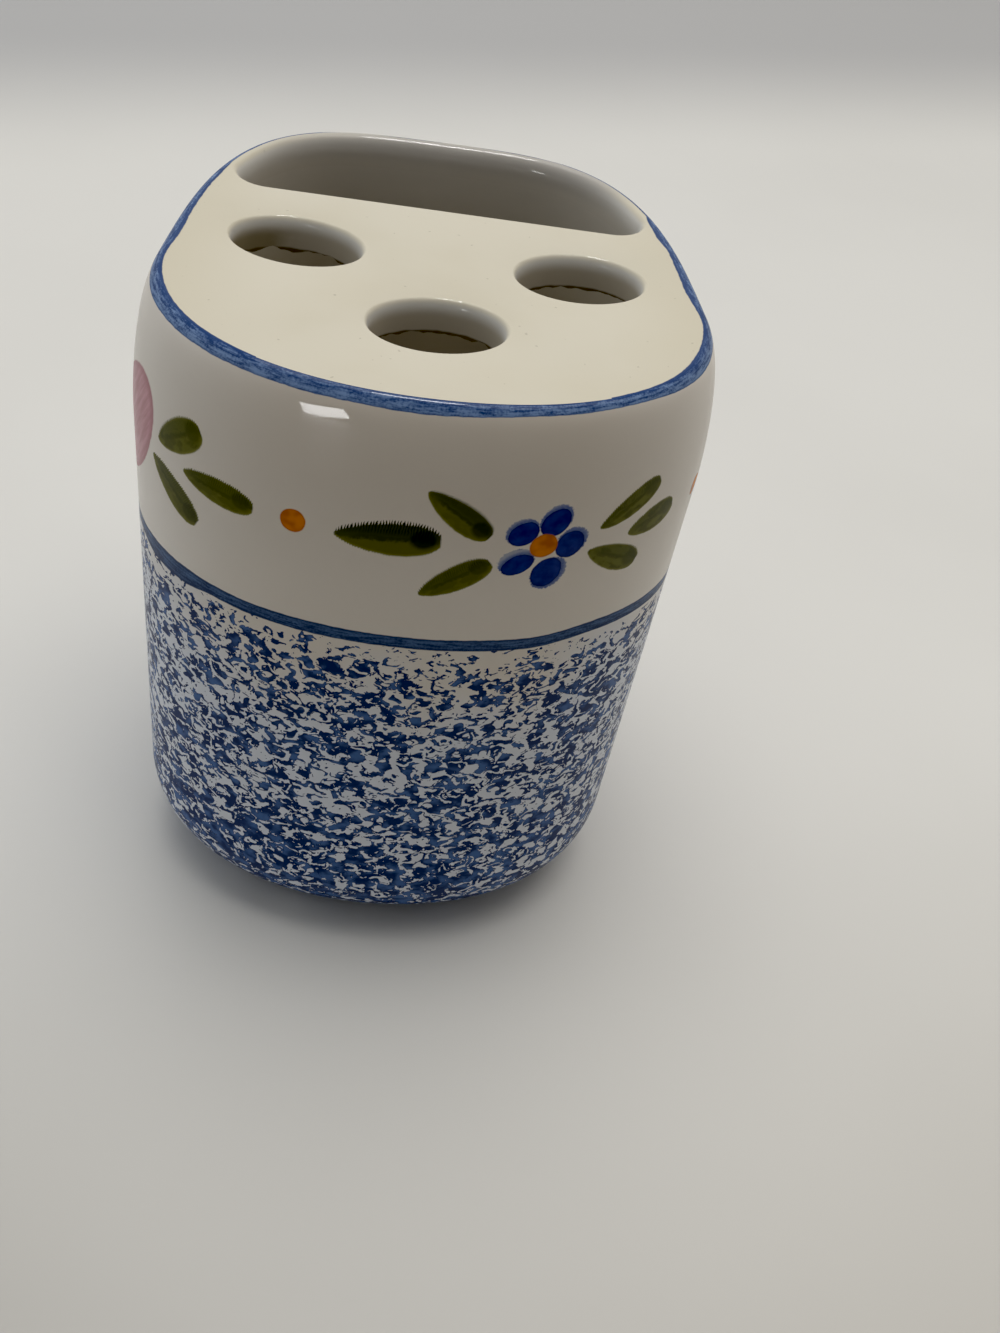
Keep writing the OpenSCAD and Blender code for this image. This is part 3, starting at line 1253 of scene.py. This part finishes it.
@dataclass
class Deck:
    """The cream deck with its three brush holes and the mouth of the paste slot."""

    shell: BodyShell
    slot_front: float = 23.9 * MM
    slot_skew: float = 0.6 * MM
    slot_corner: float = 5.0 * MM
    slot_lip: float = 1.5 * MM
    slot_lip_drop: float = 3.2 * MM
    lip: float = 0.9 * MM
    lip_drop: float = 2.4 * MM
    lip_steps: int = 10
    below_lip: tuple[float, ...] = (0.35, 0.7)
    burr: float = 0.5 * MM
    slot_count: int = 240
    corner_steps: int = 12

    @property
    def holes(self) -> tuple[BrushHole, ...]:
        """The brush holes, which are placed about the body's widest line."""
        y = self.shell.plan.widest_y
        return (
            BrushHole(-21.6 * MM, y + 6.2 * MM, turn=-8.0),
            BrushHole(0.0, y - 14.4 * MM, turn=8.0),
            BrushHole(21.6 * MM, y + 5.2 * MM, turn=10.0),
        )

    def lip_section(self, out: float, drop: float) -> list[tuple[float, float]]:
        """Returns how far out and how far down each step of a lip lies, on a quarter oval."""
        angles = [QUARTER * i / self.lip_steps for i in range(1, self.lip_steps + 1)]
        return [(out * (1 - math.sin(a)), drop * (1 - math.cos(a))) for a in angles]

    @cached_property
    def slot_mouth(self) -> list[Vector]:
        """The slot's mouth on the plan, from the inner wall's outline and two round corners."""
        plan = self.shell.plan
        inner = [p - self.shell.wall * out for p, out in zip(plan.outline, plan.outward)]
        left, right = inner[: plan.count // 2], inner[plan.count // 2 :]
        back_left, left_corner = self._slot_end(left, -1)
        back_right, right_corner = self._slot_end(right, 1)
        return evenly(back_left + left_corner + right_corner + back_right, self.slot_count)

    def _slot_end(self, inner: Sequence[Vector], side: int) -> tuple[list[Vector], list[Vector]]:
        """Draws one end of the slot's mouth.

        Args:
            inner: The inner wall's outline on this side.
            side: -1 for the left end and 1 for the right one.

        Returns:
            The part of the inner wall's outline behind the corner, and the corner's arc.
        """
        corner_y = self.slot_front + self.slot_corner - side * self.slot_skew
        nearest = min(inner, key=lambda p: abs(p.y - corner_y))
        middle = Vector((nearest.x - side * self.slot_corner, corner_y))
        quarters_before = 2 if side < 0 else 3
        turns = [quarters_before + i / self.corner_steps for i in range(self.corner_steps + 1)]
        angles = [QUARTER * turn for turn in turns]
        arc = [middle + Vector((math.cos(a), math.sin(a))) * self.slot_corner for a in angles]
        return [p for p in inner if p.y > corner_y], arc

    def slot_ring(self, z: float, out: float = 0.0) -> list[Vector]:
        """Draws the slot's mouth at a height.

        Args:
            z: The height above the table.
            out: How far it is moved out, square to itself.

        Returns:
            The ring's points.
        """
        return [
            Vector((p.x + out * way.x, p.y + out * way.y + self.shell.plan.widest_y, z))
            for p, way in zip(self.slot_mouth, outward_of(self.slot_mouth))
        ]

    def build(self, cream: bpy.types.Material) -> bpy.types.Object:
        """Builds the deck.

        Args:
            cream: The deck's glaze.

        Returns:
            The finished piece.
        """
        mesh = bmesh.new()
        shell, top, under = self.shell, self.shell.height, self.shell.deck_under
        edge = Loft(mesh, shell.plan.ring(top, shell.deck_edge_in))
        holes = [Loft(mesh, hole.ring(top, self.lip)) for hole in self.holes]
        slot = Loft(mesh, self.slot_ring(top, self.slot_lip))
        fill_between(mesh, [edge, *holes, slot])
        edge.extrude(shell.plan.ring(under, shell.deck_edge_in))
        for loft, hole in zip(holes, self.holes):
            for out, down in self.lip_section(self.lip, self.lip_drop):
                loft.extrude(hole.ring(top - down, out))
            for share in self.below_lip:
                down = self.lip_drop + (shell.deck - self.lip_drop) * share
                loft.extrude(hole.ring(top - down))
            loft.extrude(hole.ring(under, ragged=self.burr))
            loft.extrude(hole.ring(under, self.burr))
        for out, down in self.lip_section(self.slot_lip, self.slot_lip_drop):
            slot.extrude(self.slot_ring(top - down, out))
        slot.extrude(self.slot_ring(under))
        fill_between(mesh, [edge, *holes, slot])
        return Piece("glazed_deck", "top_deck", Slot.CREAM_GLAZE).make(mesh, cream)


@dataclass
class Base:
    """The floor inside the body and the foot ring under it."""

    shell: BodyShell
    foot_outer_share: float = 0.97
    foot_inner_share: float = 0.8
    softness: float = 0.3 * MM

    def build_floor(self, glaze: bpy.types.Material) -> bpy.types.Object:
        """Builds the floor.

        Args:
            glaze: The glaze inside the body.

        Returns:
            The finished piece.
        """
        mesh = bmesh.new()
        loft = Loft(mesh, self.shell.floor_ring(self.shell.floor_top))
        loft.cap()
        loft.extrude(self.shell.floor_ring(self.shell.foot))
        loft.cap()
        return Piece("well_floor", "floor_slab", Slot.WELL_GLAZE).make(mesh, glaze)

    def build_foot(self, clay: bpy.types.Material) -> bpy.types.Object:
        """Builds the dry foot ring.

        Args:
            clay: The unglazed clay.

        Returns:
            The finished piece.
        """
        mesh = bmesh.new()
        plan, foot, soft = self.shell.plan, self.shell.foot, self.softness
        outer = self.foot_outer_share * self.shell.underside_share
        inner = self.foot_inner_share * self.shell.underside_share
        soft_share = soft / plan.half_width
        section = (
            (outer, foot),
            (outer, soft),
            (outer - soft_share, 0.0),
            (inner + soft_share, 0.0),
            (inner, soft),
            (inner, foot),
        )
        rings = [plan.ring(z, lean=1.0, share=share) for share, z in section]
        loft = Loft(mesh, rings[0])
        for ring in rings[1:]:
            loft.extrude(ring)
        loft.close()
        return Piece("dry_foot", "foot_ring", Slot.DRY_CLAY).make(mesh, clay)


@dataclass(frozen=True)
class SoftLight:
    """A flat lamp that faces the object."""

    name: str
    heading: float
    elevation: float
    distance: float
    width: float
    depth: float
    watts: float
    colour: Colour = (1.0, 1.0, 1.0)
    gloss_only: bool = False
    spin: float = 0.0

    def build(self, target: Vector) -> None:
        """Makes the lamp.

        Args:
            target: The point that it faces.
        """
        h, e = math.radians(self.heading), math.radians(self.elevation)
        way = Vector((math.sin(h) * math.cos(e), math.cos(h) * math.cos(e), math.sin(e)))
        lamp = bpy.data.lights.new(self.name, "AREA")
        lamp.shape = "RECTANGLE"
        lamp.size, lamp.size_y = self.width, self.depth
        lamp.energy = self.watts
        lamp.color = self.colour
        holder = bpy.data.objects.new(self.name, lamp)
        holder.location = target + way * self.distance
        holder.rotation_mode = "QUATERNION"
        aim = (-way).to_track_quat("-Z", "Y")
        holder.rotation_quaternion = aim @ Quaternion((0.0, 0.0, 1.0), math.radians(self.spin))
        holder.visible_diffuse = not self.gloss_only
        bpy.context.scene.collection.objects.link(holder)


@dataclass
class Studio:
    """The pale table, the soft light and the camera of the photograph."""

    target: Vector
    camera_at: tuple[float, float, float] = (-9.21 * MM, -213.21 * MM, 213.97 * MM)
    pitch_down: float = 40.82
    heading: float = 8.08
    roll: float = 10.82
    long_side: float = 36.0
    focal_pixels: float = 1500.0
    image_height: int = 1333
    table_size: float = 6.0
    table_pale: Colour = (0.80, 0.79, 0.76)
    table_cloud: Colour = (0.74, 0.73, 0.70)
    # Painted shade laid over the far part of the table.
    table_far_painted_shade: Colour = (0.44, 0.44, 0.45)
    # Painted shade laid over the near part of the table, on the right and on the left.
    table_near_right_painted_shade: Colour = (0.51, 0.485, 0.44)
    table_near_painted_shade: Colour = (0.41, 0.395, 0.365)
    table_far_shade_span: Span = (0.29, 0.42)
    table_near_right_shade_span: Span = (0.02, 0.24)
    table_near_shade_span: Span = (0.04, 0.19)
    room_left: Colour = (0.95, 0.98, 1.0)
    room_right: Colour = (1.0, 0.95, 0.87)
    room_span: Span = (-0.8, 0.8)
    front_light: float = 0.05
    back_light: float = 0.66
    back_span: Span = (-0.9, 1.2)
    overhead_share: float = 0.4
    left_share: float = 0.42
    side_share: float = 0.42
    black_level: float = 0.012
    lights: tuple[SoftLight, ...] = (
        SoftLight("window_above", 24.0, 82.0, 1.2, 1.2, 0.9, 7.6, (1.0, 0.985, 0.955)),
        SoftLight("ceiling_glint", 10.0, 88.0, 1.4, 0.30, 0.25, 8.0, gloss_only=True),
        SoftLight("window_glint", -153.5, 3.0, 2.0, 0.50, 0.28, 9.5, gloss_only=True, spin=20.0),
    )

    def build(self) -> None:
        """Builds the table, the lights and the camera."""
        self._build_table()
        self._build_world()
        for light in self.lights:
            light.build(self.target)
        self._build_camera()

    def _build_table(self) -> None:
        """Builds the white table top, with painted shade that darkens it a little far behind and near
        the camera.
        """
        mesh = bmesh.new()
        bmesh.ops.create_grid(mesh, x_segments=8, y_segments=8, size=self.table_size / 2)
        data = bpy.data.meshes.new("table_top")
        mesh.to_mesh(data)
        mesh.free()
        board = Board.of_material("table_white", self.table_pale)
        place = board.object_place
        x, y, _ = board.axes(place)
        board.lay(board.noise(place, 7.0, 3.0).rise(0.35, 0.7) * 0.5, self.table_cloud)
        # Painted shade: the table darkens far behind.
        board.lay((y - x * 0.35).rise(*self.table_far_shade_span) * 0.85, self.table_far_painted_shade)
        # Painted shade: the table darkens towards the camera, on the right and on the left.
        board.lay((x * 0.45 - y).rise(*self.table_near_right_shade_span), self.table_near_right_painted_shade)
        board.lay((0 - x * 0.5 - y).rise(*self.table_near_shade_span), self.table_near_painted_shade)
        grain = board.noise(place, 60.0)
        data.materials.append(board.surface({"Roughness": 0.45}, grain, 0.2 * MM, 0.3))
        table = bpy.data.objects.new("table_top", data)
        bpy.context.scene.collection.objects.link(table)

    def _build_world(self) -> None:
        """Builds the room's even light."""
        board = Board(bpy.data.worlds.new("soft_room"), self.room_left)
        x, y, z = board.axes(board.add("ShaderNodeTexCoord", out="Generated"))
        board.lay(x.rise(*self.room_span), self.room_right)
        sides = abs(x) * self.side_share - x * self.left_share
        bright = (y + z * self.overhead_share + sides).rise(*self.back_span)
        strength = self.front_light + bright * (self.back_light - self.front_light)
        sockets = {"Color": board.colour, "Strength": strength}
        sky = board.add("ShaderNodeBackground", sockets=sockets)
        board.add("ShaderNodeOutputWorld", sockets={"Surface": sky})
        bpy.context.scene.world = board.owner

    def _build_camera(self) -> None:
        """Builds the camera at the photograph's viewing angle."""
        scene = bpy.context.scene
        lens = bpy.data.cameras.new("photo_view")
        lens.sensor_width = self.long_side
        lens.lens = self.focal_pixels / self.image_height * self.long_side
        lens.clip_start = 0.01
        camera = bpy.data.objects.new("photo_view", lens)
        turn = Matrix.Rotation(-math.radians(self.heading), 3, "Z")
        tip = Matrix.Rotation(QUARTER - math.radians(self.pitch_down), 3, "X")
        roll = Matrix.Rotation(math.radians(self.roll), 3, "Z")
        camera.rotation_mode = "QUATERNION"
        camera.rotation_quaternion = (turn @ tip @ roll).to_quaternion()
        camera.location = self.camera_at
        scene.collection.objects.link(camera)
        scene.camera = camera
        view = scene.view_settings
        view.view_transform = "Standard"
        view.use_curve_mapping = True
        view.curve_mapping.black_level = (self.black_level,) * 3
        view.curve_mapping.update()


def main() -> None:
    """Builds the holder and the studio in order, and reports each piece."""
    logging.basicConfig(level=logging.INFO, format="%(name)s: %(message)s")
    plan = BodyPlan()
    shell = BodyShell(plan, height=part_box("outer_wall")[1].z)
    base = Base(shell)
    inside = WellGlaze().material()
    painted = PaintedGlaze(shell.uv_map, plan.length).material()
    cream = CreamGlaze(plan, shell.deck_edge_in).material(shell.height)
    pieces = (
        shell.build(painted, inside),
        Deck(shell).build(cream),
        base.build_floor(inside),
        base.build_foot(DryClay().material()),
    )
    for piece in pieces:
        LOG.info("%s: %d faces", piece.name, len(piece.data.polygons))
    Studio(target=Vector((0.0, 0.0, shell.height / 2))).build()


if __name__ == "__main__":
    main()
